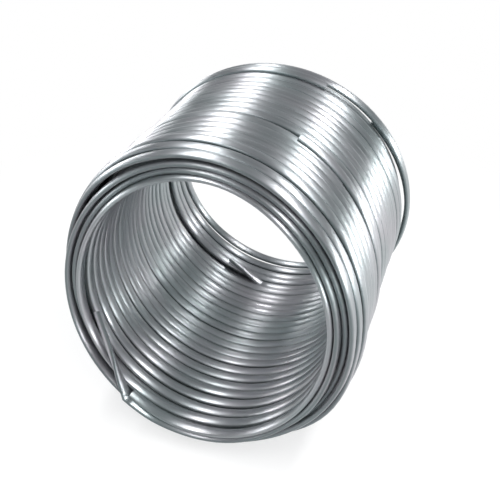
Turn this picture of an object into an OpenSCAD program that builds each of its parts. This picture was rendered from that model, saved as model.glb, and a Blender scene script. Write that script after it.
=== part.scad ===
// Coil of magnesium ribbon, lying on its side.
// The ribbon is a flat extruded bar with rounded edges, wound in layers round a former that has been drawn
// out. The turns have leaned over, each at its own angle: the coil is a turned wall with an open bore, parted
// into turns by leaning gaps one layer deep, and its end turns are rings that show the layers' rounded edges.
// X runs across the coil, Y along it with the front end at the low side, and Z is up.
// The origin is on the floor, under the middle of the coil.

/* [Ribbon] */
// Width of the ribbon, which lies along the coil's axis
ribbon_w = 19; // [15:0.5:24]
// Thickness of the ribbon, which lies across the wall of the coil
ribbon_t = 9.5; // [8:0.25:12]
// Radius of the ribbon's rounded edges
edge_r = 3; // [1:0.25:3.5]

/* [Coil] */
// Diameter of the bore at the front, between the faces of the innermost turns
bore_d = 406; // [300:1:620]
// Turns side by side along the bore
turns = 21; // [16:1:30]
// Layers of ribbon over each other in the wall
layers = 4; // [3:1:6]
// Gap between neighbouring turns
turn_gap = 0.6; // [0.2:0.1:1.2]
// Gap between one layer and the next
layer_gap = 1.3; // [0.4:0.1:2]
// How far the outermost layer starts behind the innermost one at the front end
shoulder = 32; // [24:1:45]
// Whole turns that stand proud on the outside at the front end
front_turns = 5; // [3:1:10]
// Whole turns that stand proud on the outside at the rear end
rear_turns = 2; // [1:1:5]
// How far the turns between those lie below them
waist = 4.2; // [2:0.1:8]

/* [Lie of the turns] */
// Angle by which the front turn leans back
front_lean = 12.4; // [6:0.1:15]
// Angle by which the rear turn leans back
rear_lean = -2.5; // [-5:0.1:3]
// Angle by which the front turn faces round to the right
front_yaw = -2.4; // [-4:0.1:4]
// How much smaller than the front turn the rear one is, in radius
taper = 6; // [0:0.5:8]

/* [Loose ends] */
// Length of the loose inner end at the front
front_end_l = 140; // [100:5:170]
// Angle of the loose front end where it leaves the wall, from the top of the coil
front_end_at = -150; // [-170:1:-120]
// Angle by which the loose front end leans in from the wall
front_end_lean = 27; // [22:1:35]
// Turns in front of the loose front end
front_end_turns = 0; // [0:1:4]
// Length of the loose inner end at the rear
rear_end_l = 88; // [70:2:130]
// Angle of the loose rear end where it leaves the wall, from the top of the coil
rear_end_at = -176; // [-190:1:-150]
// Angle by which the loose rear end leans in from the wall
rear_end_lean = 18; // [16:1:30]
// Turns behind the loose rear end
rear_end_turns = 4; // [1:1:8]
// Angle by which the loose inner ends slant back along the coil
loose_slant = 9; // [0:1:15]
// Angle by which the loose inner ends have turned about their own length
loose_turn = 50; // [0:5:90]
// Angle of the outer cut ends, from the top of the coil
cut_end_at = 22; // [0:1:60]
// Angle that the last turn on the outside runs on from its cut end
cut_end_sweep = 200; // [90:5:300]

/* [Hidden] */
pitch = ribbon_w + turn_gap;
layer_step = ribbon_t + layer_gap;
half_w = ribbon_w / 2;
bore_r = bore_d / 2;
wall = layers * layer_step - layer_gap;
coil_r = bore_r + wall;
// From the middle of the front turn of the bore to the middle of the rear one
run = (turns - 1) * pitch;
// The outermost layer's turns spread evenly over the length that the shoulder leaves
outer_turns = floor((run + ribbon_w - shoulder + turn_gap) / pitch);
outer_pitch = (run - shoulder) / (outer_turns - 1);
// Turns at the front of the bore that show the layers stepping back over each other
step_turns = layers - 2;
// The wall between the end turns is straight and lies on the floor as they do
body_r = (rest(0) + rest(run)) / 2;
// Middle of that wall, and the two faces at which the gaps between the turns end
mid_r = body_r - wall / 2;
core_in = mid_r - ribbon_t;
core_out = mid_r + ribbon_t;
// Chords in one rounded corner
corner_steps = 2;
$fn = 96;

// One rounded corner of the ribbon about its centre, as an arc of 90 degrees that starts at angle from
function corner(r, z, from) = [
    for (k = [0:corner_steps])
        let (a = from + 90 * k / corner_steps)
        [r + edge_r * cos(a), z + edge_r * sin(a)]
];

// Inner radius of layer k at the front end, counted from the bore
function layer_r(k) = bore_r + k * layer_step;

// Lean and yaw of the turn that lies d behind the front one, and what its radius has lost
function lean(d) = front_lean + (rear_lean - front_lean) * d / run;
function yaw(d) = front_yaw * (1 - d / run);
function loss(d) = taper * d / run;

// Height of the middle of that turn, with its lowest edge on the floor
function rest(d) =
    let (a = abs(lean(d)))
    (coil_r - loss(d) - edge_r) * cos(a) + (half_w - edge_r) * sin(a) + edge_r;

// How far a ring with that profile reaches along the coil from its middle, tilted by lean(d) and yaw(d)
function reach(profile, d) =
    let (tilt = acos(cos(lean(d)) * cos(yaw(d))))
    max([for (p = profile) (p.x - loss(d)) * sin(tilt) + abs(p.y) * cos(tilt)]);

// Profiles in radius and height, anticlockwise, with the front of the turn at the high side.
// One turn with a rounded edge at each corner
function turn(inner, outer) = concat(
    corner(outer - edge_r, edge_r - half_w, -90),
    corner(outer - edge_r, half_w - edge_r, 0),
    corner(inner + edge_r, half_w - edge_r, 90),
    corner(inner + edge_r, edge_r - half_w, 180)
);

// The last turn, whose flat rear face shows every layer
rear_turn = concat(
    turn(bore_r, coil_r),
    [
        for (k = [0:layers - 2])
            each concat(
                corner(layer_r(k) + ribbon_t - edge_r, edge_r - half_w, 270),
                corner(layer_r(k + 1) + edge_r, edge_r - half_w, 180)
            )
    ]
);

front_y = (reach(turn(bore_r, layer_r(1) + ribbon_t), 0) - run - reach(rear_turn, run)) / 2;

// Where the gap before turn i of the bore lies, and the one before turn j of the outermost layer
function bore_gap(i) = (i - 0.5) * pitch;
function outer_gap(j) = shoulder + (j - 0.5) * outer_pitch;

// Puts what is turned about Z on the coil, d behind the front turn
module lie(d) {
    translate([0, front_y + d, rest(d)])
        rotate([90 - lean(d), 0, yaw(d)])
            children();
}

// A ring with that profile, d behind the front turn
module ring(profile, d) {
    lie(d)
        rotate_extrude()
            translate([-loss(d), 0])
                polygon(profile);
}

// The straight wall between two radii, over that angle clockwise from the cut ends
module straight(inner, outer, sweep = 360) {
    translate([0, 0, body_r])
        rotate([90, 0, 0])
            rotate([0, 0, 90 - cut_end_at - sweep])
                rotate_extrude(angle = sweep)
                    translate([inner, -run])
                        square([outer - inner, 2 * run]);
}

// All that lies between the leaning planes from and to
module between(from, to) {
    intersection() {
        children();
        lie(from)
            translate([0, 0, -3 * run])
                cylinder(r = 2 * coil_r, h = 3 * run);
        lie(to)
            cylinder(r = 2 * coil_r, h = 3 * run);
    }
}

// Leaning gap between two turns
module gap(d) {
    lie(d)
        cylinder(r = 1.5 * coil_r, h = turn_gap, center = true);
}

// The innermost turns behind the stepped ones
module bore_turns() {
    difference() {
        between(bore_gap(step_turns), bore_gap(turns - 1))
            straight(body_r - wall, mid_r - 1);
        for (i = [step_turns:turns - 1])
            gap(bore_gap(i));
    }
}

// The outermost turns behind the first one
module outer_turns() {
    last = outer_turns - 1;
    difference() {
        union() {
            between(outer_gap(1), outer_gap(last))
                straight(mid_r + 1, body_r - waist);
            between(outer_gap(1), outer_gap(front_turns))
                straight(mid_r + 2, body_r);
            between(outer_gap(last - rear_turns + 1), outer_gap(last))
                straight(mid_r + 2, body_r);
            for (j = [front_turns, last - rear_turns])
                between(outer_gap(j), outer_gap(j + 1))
                    straight(mid_r + 3, body_r, cut_end_sweep);
        }
        for (j = [1:last])
            gap(outer_gap(j));
    }
}

// The turns at the two ends
module end_turns() {
    for (i = [0:step_turns - 1])
        ring(turn(bore_r, layer_r(i + 1) + ribbon_t), i * pitch);
    ring(turn(mid_r, coil_r), shoulder);
    ring(rear_turn, run);
}

// The ribbon's section, centred, with its width along X
module ribbon_section() {
    w = half_w - edge_r;
    t = ribbon_t / 2 - edge_r;
    polygon(concat(corner(w, t, 0), corner(-w, t, 90), corner(-w, -t, 180), corner(w, -t, 270)));
}

// A straight loose end of ribbon, which leaves the innermost layer at angle at and leans into the bore
module loose_end(length, at, lean_in, d) {
    lie(d)
        rotate([0, 0, -at])
            translate([0, bore_r - loss(d) + ribbon_t, 0])
                rotate([0, loose_slant, -lean_in])
                    rotate([0, 90, 0])
                        linear_extrude(length)
                            rotate(loose_turn)
                                ribbon_section();
}

module ribbon_coil() {
    color("silver")
        union() {
            between(bore_gap(step_turns - 0.5), run)
                straight(core_in, core_out);
            bore_turns();
            outer_turns();
            end_turns();
            loose_end(front_end_l, front_end_at, front_end_lean, front_end_turns * pitch);
            loose_end(rear_end_l, rear_end_at, rear_end_lean, run - rear_end_turns * pitch);
        }
}

ribbon_coil();
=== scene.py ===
import math

import bpy
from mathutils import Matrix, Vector


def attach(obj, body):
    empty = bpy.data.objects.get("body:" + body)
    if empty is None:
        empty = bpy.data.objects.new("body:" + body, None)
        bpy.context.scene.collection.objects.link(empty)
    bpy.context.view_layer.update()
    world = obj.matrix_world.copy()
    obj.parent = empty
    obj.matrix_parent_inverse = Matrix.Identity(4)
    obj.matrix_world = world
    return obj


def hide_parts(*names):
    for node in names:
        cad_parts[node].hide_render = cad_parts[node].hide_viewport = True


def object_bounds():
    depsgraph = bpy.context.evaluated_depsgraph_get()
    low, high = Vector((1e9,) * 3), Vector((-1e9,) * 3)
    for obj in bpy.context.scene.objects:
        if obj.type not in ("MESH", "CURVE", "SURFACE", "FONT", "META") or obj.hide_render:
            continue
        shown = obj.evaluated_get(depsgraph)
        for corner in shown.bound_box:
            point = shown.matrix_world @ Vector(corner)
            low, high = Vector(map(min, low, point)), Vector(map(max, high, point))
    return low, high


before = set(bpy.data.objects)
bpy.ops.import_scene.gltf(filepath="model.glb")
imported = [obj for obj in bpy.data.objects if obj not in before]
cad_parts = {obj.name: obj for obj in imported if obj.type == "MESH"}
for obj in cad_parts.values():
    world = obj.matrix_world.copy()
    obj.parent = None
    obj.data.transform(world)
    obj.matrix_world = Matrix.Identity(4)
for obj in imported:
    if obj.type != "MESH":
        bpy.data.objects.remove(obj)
cad_low, cad_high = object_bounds()

# Sizes in metres. The coil lies on its side with its axis along Y and its front end at the low side.
WIDE = 0.0190  # the ribbon's face
BORE_WIDE = 0.0168  # drawn narrower in the bore, to make room for as many turns as show there
THICK = 0.0095
EDGE = 0.0022  # rounding of the ribbon's four edges
CROWN = 0.0024  # how far the faces swell in the middle
RADIUS = 0.99 * (cad_high.x - cad_low.x) / 2
BORE = 0.813 * RADIUS
LAYER = THICK + 0.0003  # from one layer to the next in the three tight layers
OUTER = RADIUS - THICK / 2 - 0.0008  # the middle of the ribbon in the loose fourth layer
WAIST = 0.0044  # how far the turns between the two proud groups lie below them
LONG = 1.536 * RADIUS  # front ring to rear ring, along the middle
FRONT = -0.633 * RADIUS  # where the front ring's middle lies
LEAN = (12.4, -2.5)  # degrees that the front and the rear ring lean back
YAW = -2.4  # degrees that the front ring faces round
REAR_SIZE = 0.976  # the rear ring's radius as a share of the front one's
LOOSE = 0.0008  # how far a turn strays along the coil
RISE = 0.0006  # how far it strays off its layer
UNEVEN = 0.16  # how much the pitch of turns laid by rule varies, as a share
STEPS = 96  # sections in one turn
TAIL_STEPS = 32  # sections in a loose end
LAMP_AWAY = 1.6  # how far the lamps stand from the coil's middle
LAMP_LONG = 3.2


def mix(a, b, t):
    return a + (b - a) * min(1.0, max(0.0, t))


def ease(t):
    t = min(1.0, max(0.0, t))
    return t * t * (3 - 2 * t)


def wander(turn, seed):
    """The slow drift of a hand-laid ribbon, from -1 to 1, at that many turns along it."""
    a = 2 * math.pi * turn
    return (
        0.5 * math.sin(0.61 * a + 1.7 * seed)
        + 0.3 * math.sin(1.37 * a + 4.1 * seed)
        + 0.2 * math.sin(2.43 * a + 2.3 * seed)
    )


def on_coil(place, angle, radius):
    """The point at that angle from the top, clockwise from the front, of a turn whose middle lies that share
    of the way back. The turns lean back at the front end and stand nearly upright at the rear."""
    lean = math.radians(mix(*LEAN, place))
    yaw = math.radians(mix(YAW, 0.0, place))
    axis = Vector((math.sin(yaw) * math.cos(lean), -math.cos(yaw) * math.cos(lean), math.sin(lean)))
    up = (Vector((0, 0, 1)) - axis * axis.z).normalized()
    across = up.cross(axis)
    outer = RADIUS * mix(1.0, REAR_SIZE, place)
    middle = Vector((0, FRONT + LONG * place, outer * up.z))
    r = outer - (RADIUS - radius)
    return middle + r * (math.cos(angle) * up + math.sin(angle) * across)


def layer_radius(layer, place):
    """The radius of the ribbon's middle in that layer, counted from 0 at the bore. The fourth is loose, and
    lies lower in the waist between the two ends."""
    waist = WAIST * (ease((place - 0.36) / 0.05) - ease((place - 0.85) / 0.05))
    tight = BORE + THICK / 2 + min(layer, 2) * LAYER
    return tight + (OUTER - waist - tight) * max(0.0, layer - 2)


def builder(tree):
    """Short ways to add a node, a link and a sum to that node tree."""
    link = tree.links.new

    def node(kind, **settings):
        made = tree.nodes.new(kind)
        for key, value in settings.items():
            setattr(made, key, value)
        return made

    def maths(operation, *values, **settings):
        made = node("ShaderNodeMath", operation=operation, **settings)
        for socket, value in zip(made.inputs, values):
            if isinstance(value, (int, float)):
                socket.default_value = value
            else:
                link(value, socket)
        return made.outputs[0]

    return node, link, maths


def ribbon_tree():
    """Sweeps a ribbon with rounded edges along a path and keeps, on each point, where it lies across and
    along the ribbon."""
    tree = bpy.data.node_groups.new("wound ribbon", "GeometryNodeTree")
    face = tree.interface
    face.new_socket("Geometry", in_out="INPUT", socket_type="NodeSocketGeometry")
    sizes = (("Width", WIDE), ("Thickness", THICK - 2 * CROWN), ("Edge radius", EDGE), ("Crown", CROWN))
    for name, value in sizes:
        face.new_socket(name, in_out="INPUT", socket_type="NodeSocketFloat").default_value = value
    face.new_socket("Material", in_out="INPUT", socket_type="NodeSocketMaterial")
    face.new_socket("Geometry", in_out="OUTPUT", socket_type="NodeSocketGeometry")
    node, link, maths = builder(tree)
    given = node("NodeGroupInput").outputs
    # the section: a bar with rounded edges and slightly swollen faces
    bar = node("GeometryNodeCurvePrimitiveQuadrilateral")
    link(given["Thickness"], bar.inputs["Width"])
    link(given["Width"], bar.inputs["Height"])
    parted = node("GeometryNodeSubdivideCurve")
    parted.inputs["Cuts"].default_value = 1
    round_off = node("GeometryNodeFilletCurve", mode="POLY")
    round_off.inputs["Limit Radius"].default_value = True
    round_off.inputs["Count"].default_value = 2
    link(given["Edge radius"], round_off.inputs["Radius"])
    link(bar.outputs["Curve"], round_off.inputs["Curve"])
    link(round_off.outputs["Curve"], parted.inputs["Curve"])
    spot = node("ShaderNodeSeparateXYZ")
    link(node("GeometryNodeInputPosition").outputs[0], spot.inputs[0])
    half = maths("MULTIPLY", given["Width"], 0.5)
    share = maths("DIVIDE", spot.outputs["Y"], half)
    swell = maths("SUBTRACT", 1.0, maths("MULTIPLY", share, share))
    side = maths("DIVIDE", spot.outputs["X"], maths("MULTIPLY", given["Thickness"], 0.5))
    lift = node("ShaderNodeCombineXYZ")
    link(maths("MULTIPLY", maths("MULTIPLY", swell, side), given["Crown"]), lift.inputs["X"])
    crowned = node("GeometryNodeSetPosition")
    link(parted.outputs["Curve"], crowned.inputs["Geometry"])
    link(lift.outputs[0], crowned.inputs["Offset"])
    section_place = node("GeometryNodeCaptureAttribute")
    section_place.capture_items.new("VECTOR", "Across")
    link(crowned.outputs[0], section_place.inputs[0])
    link(node("GeometryNodeInputPosition").outputs[0], section_place.inputs[1])

    # the path, with the ribbon's face kept square to the coil's axis
    upright = node("GeometryNodeSetCurveNormal", mode="Z_UP")
    link(given["Geometry"], upright.inputs["Curve"])
    path_place = node("GeometryNodeCaptureAttribute")
    path_place.capture_items.new("FLOAT", "Along")
    path_place.capture_items.new("VECTOR", "Way")
    link(upright.outputs[0], path_place.inputs[0])
    link(node("GeometryNodeSplineParameter").outputs["Length"], path_place.inputs[1])
    link(node("GeometryNodeInputTangent").outputs[0], path_place.inputs[2])

    swept = node("GeometryNodeCurveToMesh")
    link(path_place.outputs[0], swept.inputs["Curve"])
    link(section_place.outputs[0], swept.inputs["Profile Curve"])
    swept.inputs["Fill Caps"].default_value = True
    apart = node("ShaderNodeSeparateXYZ")
    link(section_place.outputs[1], apart.inputs[0])
    drawn = node("ShaderNodeCombineXYZ")
    link(apart.outputs["X"], drawn.inputs["X"])
    link(apart.outputs["Y"], drawn.inputs["Y"])
    link(path_place.outputs[1], drawn.inputs["Z"])
    keep = node("GeometryNodeStoreNamedAttribute", data_type="FLOAT_VECTOR", domain="POINT")
    keep.inputs["Name"].default_value = "drawn"
    link(swept.outputs[0], keep.inputs["Geometry"])
    link(drawn.outputs[0], keep.inputs["Value"])

    # the coil's axis turned from upright to lying
    laid_way = node("ShaderNodeVectorRotate", rotation_type="X_AXIS")
    laid_way.inputs["Angle"].default_value = math.pi / 2
    link(path_place.outputs[2], laid_way.inputs["Vector"])
    keep_way = node("GeometryNodeStoreNamedAttribute", data_type="FLOAT_VECTOR", domain="POINT")
    keep_way.inputs["Name"].default_value = "lengthwise"
    link(keep.outputs[0], keep_way.inputs["Geometry"])
    link(laid_way.outputs[0], keep_way.inputs["Value"])
    lay = node("GeometryNodeTransform")
    lay.inputs["Rotation"].default_value = (math.pi / 2, 0, 0)
    link(keep_way.outputs[0], lay.inputs["Geometry"])
    smooth = node("GeometryNodeSetShadeSmooth")
    link(lay.outputs[0], smooth.inputs["Geometry"])
    real = node("GeometryNodeRealizeInstances")
    link(smooth.outputs[0], real.inputs[0])
    finish = node("GeometryNodeSetMaterial")
    link(real.outputs[0], finish.inputs["Geometry"])
    link(given["Material"], finish.inputs["Material"])
    link(finish.outputs[0], node("NodeGroupOutput").inputs[0])
    return tree


def wound_piece(name, strands, tree, metal, wide=WIDE):
    """One piece of ribbon, or several in one layer, each swept along its own path."""
    curve = bpy.data.curves.new(name, "CURVE")
    curve.dimensions = "3D"
    for path in strands:
        spline = curve.splines.new("POLY")
        spline.points.add(len(path) - 1)
        for point, (p, twist) in zip(spline.points, path):
            point.co = (p.x, p.z, -p.y, 1)
            point.tilt = twist
    guide = bpy.data.objects.new(name + "_path", curve)
    bpy.context.collection.objects.link(guide)
    sweep = guide.modifiers.new("wound ribbon", "NODES")
    sweep.node_group = tree
    for item in tree.interface.items_tree:
        if item.in_out == "INPUT" and item.name in ("Material", "Width"):
            sweep[item.identifier] = metal if item.name == "Material" else wide
    seen = guide.evaluated_get(bpy.context.evaluated_depsgraph_get())
    mesh = bpy.data.meshes.new_from_object(seen)
    mesh.name = name
    piece = bpy.data.objects.new(name, mesh)
    bpy.context.collection.objects.link(piece)
    bpy.data.objects.remove(guide)
    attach(piece, "root")
    return piece


def between(knots, angle, item):
    """What that item of the knots (angle, place, layer) is at that angle, on a smooth line. Angles run
    downwards."""
    k = 0
    while k < len(knots) - 2 and angle < knots[k + 1][0]:
        k += 1
    a0, a1, p0, p1 = knots[k][0], knots[k + 1][0], knots[k][item], knots[k + 1][item]
    t, span = (angle - a0) / (a1 - a0), a1 - a0
    if item == 2:
        return mix(p0, p1, ease(t))
    before, after = knots[max(0, k - 1)], knots[min(len(knots) - 1, k + 2)]
    slope0 = (p1 - before[1]) / (a1 - before[0])
    slope1 = (after[1] - p0) / (after[0] - a0)
    return (
        (2 * t**3 - 3 * t**2 + 1) * p0
        + (t**3 - 2 * t**2 + t) * span * slope0
        + (3 * t**2 - 2 * t**3) * p1
        + (t**3 - t**2) * span * slope1
    )


def helix(knots, seed, loose=LOOSE, lift_first=0.0, lift_last=0.0, reach=60):
    """Points of a strand wound anticlockwise through the knots (angle, place, layer). The lifts raise or
    sink its two ends over that many degrees."""
    start, stop = knots[0][0], knots[-1][0]
    count = int((start - stop) / 360 * STEPS)
    points = []
    for i in range(count + 1):
        degrees = mix(start, stop, i / count)
        turn = (start - degrees) / 360
        place = between(knots, degrees, 1) + loose * wander(turn, seed) / LONG
        layer = between(knots, degrees, 2)
        radius = layer_radius(layer, place) + RISE * wander(turn * 1.3, seed + 5)
        radius += lift_first * ease(1 - (start - degrees) / reach)
        radius += lift_last * ease(1 - (degrees - stop) / reach)
        points.append((on_coil(place, math.radians(degrees), radius), 0.0))
    return points


def even(start, first, last, turns, layer, tighter=1.0, seed=0):
    """Knots of a strand laid by rule in one layer from first to last: the pitch of its last turn is that
    share of its first one's, and each turn is a little uneven."""
    count = math.ceil(turns)
    steps = [mix(1.0, tighter, k / count) * (1 + UNEVEN * wander(0.37 * k, seed)) for k in range(count)]
    steps[-1] *= turns - count + 1
    knots = [(start, first, layer)]
    for k, step in enumerate(steps):
        place = knots[-1][1] + step * (last - first) / sum(steps)
        knots.append((start - 360 * min(k + 1, turns), place, layer))
    return knots


def tail(free, root, twist):
    """The straight loose end of a strand, from its free end to its root. Each is given as angle, place and
    radius, and the ribbon is twisted towards its free end by that many degrees."""
    first, last = (on_coil(place, math.radians(angle), radius) for angle, place, radius in (free, root))
    points = []
    for i in range(TAIL_STEPS):
        share = i / TAIL_STEPS
        twisted = math.radians(twist) * (1 - ease((share - 0.35) / 0.65))
        points.append((first.lerp(last, share), twisted))
    return points


def drawn_metal():
    """Bright drawn magnesium: fine lines along the ribbon, faint tints, and duller edges, with painted shade
    darkening the colour towards the edges, in the grooves between turns.
    """
    metal = bpy.data.materials.new("drawn magnesium")
    metal.use_nodes = True
    node, link, maths = builder(metal.node_tree)

    def noise(vector, size, stretch, detail):
        scaled = node("ShaderNodeMapping")
        scaled.inputs["Scale"].default_value = stretch
        link(vector, scaled.inputs["Vector"])
        made = node("ShaderNodeTexNoise")
        made.inputs["Scale"].default_value = size
        made.inputs["Detail"].default_value = detail
        link(scaled.outputs[0], made.inputs["Vector"])
        return made.outputs[0]

    def ramp(value, low, high, to_low, to_high):
        made = node("ShaderNodeMapRange")
        for key, number in (("From Min", low), ("From Max", high), ("To Min", to_low), ("To Max", to_high)):
            made.inputs[key].default_value = number
        link(value, made.inputs["Value"])
        return made.outputs[0]

    def blend(factor, first, second):
        made = node("ShaderNodeMix", data_type="RGBA")
        link(factor, made.inputs["Factor"])
        for socket, colour in ((made.inputs[6], first), (made.inputs[7], second)):
            if isinstance(colour, tuple):
                socket.default_value = colour + (1,)
            else:
                link(colour, socket)
        return made.outputs[2]

    shader = metal.node_tree.nodes["Principled BSDF"]
    shader.inputs["Metallic"].default_value = 1.0
    shader.inputs["Anisotropic"].default_value = 0.75
    shader.inputs["Anisotropic Rotation"].default_value = 0.25
    way = node("ShaderNodeAttribute", attribute_name="lengthwise")
    link(way.outputs["Vector"], shader.inputs["Tangent"])
    drawn = node("ShaderNodeAttribute", attribute_name="drawn").outputs["Vector"]
    spot = node("ShaderNodeTexCoord").outputs["Object"]
    fine = noise(drawn, 1.0, (1500, 1500, 6), 2.0)
    ridges = noise(drawn, 1.0, (380, 380, 2.5), 1.0)
    patches = noise(spot, 8.0, (1, 1, 1), 3.0)
    smears = noise(drawn, 1.0, (60, 60, 9), 3.0)
    parts = node("ShaderNodeSeparateXYZ")
    link(drawn, parts.inputs[0])
    # mask towards the ribbon's edges, where the grooves between turns lie: it paints shade into the colour
    # there and makes the edges rougher
    painted_shade_and_dull_edge = ramp(maths("ABSOLUTE", parts.outputs["Y"]), 0.0068, 0.0094, 0.0, 1.0)
    tone = blend(ramp(patches, 0.35, 0.65, 0.0, 1.0), (0.45, 0.50, 0.51), (0.55, 0.54, 0.57))
    tone = blend(ramp(ridges, 0.3, 0.7, 0.0, 0.30), tone, (0.30, 0.33, 0.34))
    # painted shade: the colour darkens towards the ribbon's edges, in the grooves between turns
    tone = blend(maths("MULTIPLY", painted_shade_and_dull_edge, 0.75), tone, (0.10, 0.135, 0.14))
    link(tone, shader.inputs["Base Color"])
    rough = maths("ADD", ramp(fine, 0.3, 0.7, 0.26, 0.36), ramp(smears, 0.3, 0.7, 0.0, 0.10))
    link(maths("ADD", rough, maths("MULTIPLY", painted_shade_and_dull_edge, 0.12)), shader.inputs["Roughness"])
    height = maths("ADD", maths("MULTIPLY", ridges, 0.7), maths("MULTIPLY", fine, 0.3))
    bump = node("ShaderNodeBump")
    bump.inputs["Strength"].default_value = 0.45
    bump.inputs["Distance"].default_value = 0.0005
    link(height, bump.inputs["Height"])
    link(bump.outputs[0], shader.inputs["Normal"])
    return metal


metal = drawn_metal()
tree = ribbon_tree()

# Each strand has knots: angle in degrees from the top, place along the coil, and layer.
# This one lines the bore.
lining = [
    (-149, -0.067, 0), (-165, -0.067, 0), (-199, -0.064, 0), (-270, -0.052, 0), (-320, -0.050, 0),
    (-360, -0.026, 0), (-400, -0.035, 0), (-446, -0.046, 0), (-480, -0.034, 0), (-510, -0.018, 0),
    (-559, -0.003, 0), (-720, 0.018, 0),
]
lining += even(-919, 0.046, 0.79, 18, 0, 0.78, 1)
lining += [(lining[-1][0] - 90, 0.80, 1)]

# This one ends loose at the front, winds back in the second layer and forward in the third, and climbs to the
# outside there, where it is cut off.
second = [
    (-148, -0.082, 0.6), (-165, -0.068, 1), (-199, -0.050, 1.2), (-225, -0.042, 1), (-245, -0.056, 1),
    (-285, -0.045, 1), (-305, -0.048, 1), (-339, -0.036, 1), (-362, -0.022, 1), (-385, -0.012, 1),
    (-446, -0.030, 1.2), (-475, -0.010, 1.1), (-515, 0.020, 1),
]
second += even(-600, 0.022, 0.974, 18.6, 1, 1.0, 3)
rear_turn = second[-1][0] - 90 - (second[-1][0] - 90) % 360 - 90  # where it turns back into the third layer
third = even(rear_turn, 0.972, 0.028, 19, 2, 1.0, 4)
top = third[-1][0] + 90  # where the third layer is next at the top of the coil
last_turns = [
    (-90, 0.018, 2), (-180, 0.020, 2), (-250, -0.010, 2), (-300, -0.034, 2), (-340, -0.030, 2),
    (-380, -0.020, 2), (-450, -0.028, 2.3), (-540, -0.015, 2.3), (-570, -0.018, 2.1), (-630, -0.038, 2.7),
    (-670, -0.048, 2.9), (-720, -0.038, 3), (-745, -0.028, 3),
]
front_group = [
    (-770, -0.010, 3.1), (-810, 0.022, 2.9), (-915, 0.036, 2.4), (-960, 0.024, 3.3), (-985, 0.017, 3),
    (-1010, 0.008, 3), (-1047, 0.006, 3), (-1080, 0.016, 3), (-1125, 0.043, 3.4), (-1275, 0.064, 2.5),
    (-1320, 0.068, 3.3), (-1420, 0.076, 3), (-1485, 0.100, 3.4), (-1600, 0.118, 3), (-1780, 0.133, 3),
    (-1960, 0.158, 3), (-2140, 0.178, 3), (-2320, 0.203, 3), (-2500, 0.226, 3), (-2680, 0.252, 3),
    (-2860, 0.275, 3), (-3040, 0.310, 3), (-3217, 0.347, 3),
]
third = third[:-1] + [(top + angle, place, layer) for angle, place, layer in last_turns + front_group]
root = layer_radius(1, 0) - 0.005
strand = tail((-108, -0.02, 0.775 * RADIUS), (-148, -0.085, root), -60)
strand += helix(second + third[:3], 3)  # handed on to the next piece at the outer layer's rear edge

# These two lie on the outside: the turns of the waist, and the proud ones at the rear.
middle_group = (
    (45, 0.330, 3), (0, 0.333, 3), (-328, 0.415, 3), (-688, 0.477, 3), (-1048, 0.526, 3), (-1408, 0.578, 3),
    (-1768, 0.630, 3), (-2128, 0.674, 3), (-2488, 0.723, 3), (-2848, 0.787, 3), (-3208, 0.845, 3),
    (-3330, 0.866, 3),
)
rear_group = (
    (21, 0.892, 3.1), (-159, 0.918, 3), (-315, 0.942, 3.25), (-400, 0.950, 3), (-519, 0.966, 3),
    (-675, 0.985, 3.2),
)
outside = [helix(middle_group, 6, 0.0006, -0.004, -0.004), helix(rear_group, 7, 0.0004, 0.002, -0.010)]

# This one ends loose at the rear, beside the last turns of the lining.
start = even(-176, 0.82, 1.0, 4, 0, 1.0, 2)
start[-1] = (-1616, 1.01, 0)
rear_end = tail((-153, 0.85, BORE - 0.010), (-176, 0.82, BORE + THICK / 2), -40)
rear_end += helix(start + [(-1800, 1.0, 0), (-1900, 0.985, 1)], 2)

wound_piece("bore_layer", [helix(lining, 1, 0.0012), rear_end], tree, metal, BORE_WIDE)
wound_piece("second_layer", [strand], tree, metal)
wound_piece("third_layer", [helix(third[2:], 3, lift_last=0.003, reach=45)], tree, metal)
wound_piece("outer_layer", outside, tree, metal)
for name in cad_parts:
    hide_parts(name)

# floor, lamps and camera
floor = bpy.data.objects.new("floor", bpy.data.meshes.new("floor"))
floor.data.from_pydata([(-9, -9, 0), (9, -9, 0), (9, 9, 0), (-9, 9, 0)], [], [(0, 1, 2, 3)])
bpy.context.collection.objects.link(floor)
white = bpy.data.materials.new("white floor")
white.use_nodes = True
node, link, maths = builder(white.node_tree)
shader = white.node_tree.nodes["Principled BSDF"]
shader.inputs["Base Color"].default_value = (0.9, 0.9, 0.9, 1)
shader.inputs["Roughness"].default_value = 0.9
glow = node("ShaderNodeEmission")
glow.inputs["Strength"].default_value = 1.0
rays = node("ShaderNodeLightPath").outputs
seen = maths("ADD", rays["Is Camera Ray"], rays["Is Glossy Ray"], use_clamp=True)
seen = maths("ADD", seen, rays["Is Transmission Ray"], use_clamp=True)
away = node("ShaderNodeVectorMath", operation="LENGTH")
link(node("ShaderNodeTexCoord").outputs["Object"], away.inputs[0])
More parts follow.
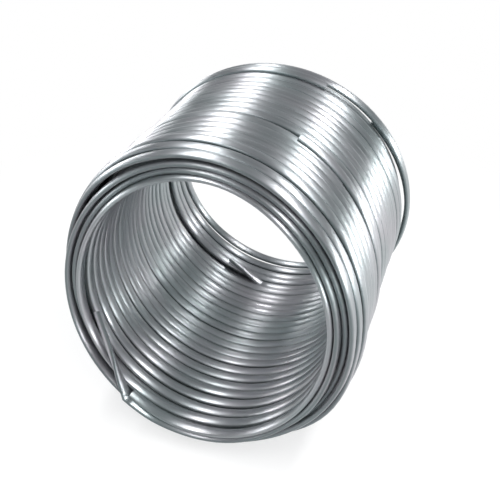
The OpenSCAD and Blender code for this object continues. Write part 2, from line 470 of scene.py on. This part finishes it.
bright = node("ShaderNodeMapRange", interpolation_type="SMOOTHSTEP")
for key, number in (("From Min", 0.3), ("From Max", 0.9), ("To Min", 0.6), ("To Max", 1.0)):
    bright.inputs[key].default_value = number
link(away.outputs["Value"], bright.inputs["Value"])
both = node("ShaderNodeMixShader")
link(maths("MULTIPLY", seen, bright.outputs[0]), both.inputs[0])
link(shader.outputs[0], both.inputs[1])
link(glow.outputs[0], both.inputs[2])
link(both.outputs[0], white.node_tree.nodes["Material Output"].inputs["Surface"])
floor.data.materials.append(white)

world = bpy.data.worlds.new("studio")
world.use_nodes = True
world.node_tree.nodes["Background"].inputs["Color"].default_value = (0.92, 0.97, 1.0, 1)
world.node_tree.nodes["Background"].inputs["Strength"].default_value = 0.27
bpy.context.scene.world = world


def strip_lamp(name, angle, wide, power):
    """A long soft lamp beside the coil, parallel to its axis, at that angle from straight above."""
    lamp = bpy.data.lights.new(name, "AREA")
    lamp.shape = "RECTANGLE"
    lamp.size, lamp.size_y = wide, LAMP_LONG
    lamp.energy = power
    holder = bpy.data.objects.new(name, lamp)
    a = math.radians(angle)
    holder.location = Vector((0, 0, RADIUS)) + LAMP_AWAY * Vector((math.sin(a), 0, math.cos(a)))
    holder.rotation_euler = (0, a, 0)
    bpy.context.collection.objects.link(holder)


strip_lamp("lamp right", 78, 0.22, 27)
strip_lamp("lamp upper right", 28, 0.22, 27)
strip_lamp("lamp upper left", -26, 0.22, 25)
strip_lamp("lamp left", -75, 0.2, 17)

camera = bpy.data.objects.new("camera", bpy.data.cameras.new("camera"))
camera.data.sensor_width = 36
camera.data.lens = 57.6
camera.data.clip_end = 50
look = Vector((-0.27807, 0.75604, -0.59252))
camera.location = Vector((1.5625, -3.4151, 4.1470)) * RADIUS + Vector((0, FRONT, 0))
camera.rotation_mode = "QUATERNION"
camera.rotation_quaternion = look.to_track_quat("-Z", "Y")
bpy.context.collection.objects.link(camera)
bpy.context.scene.camera = camera
bpy.context.scene.view_settings.view_transform = "Standard"
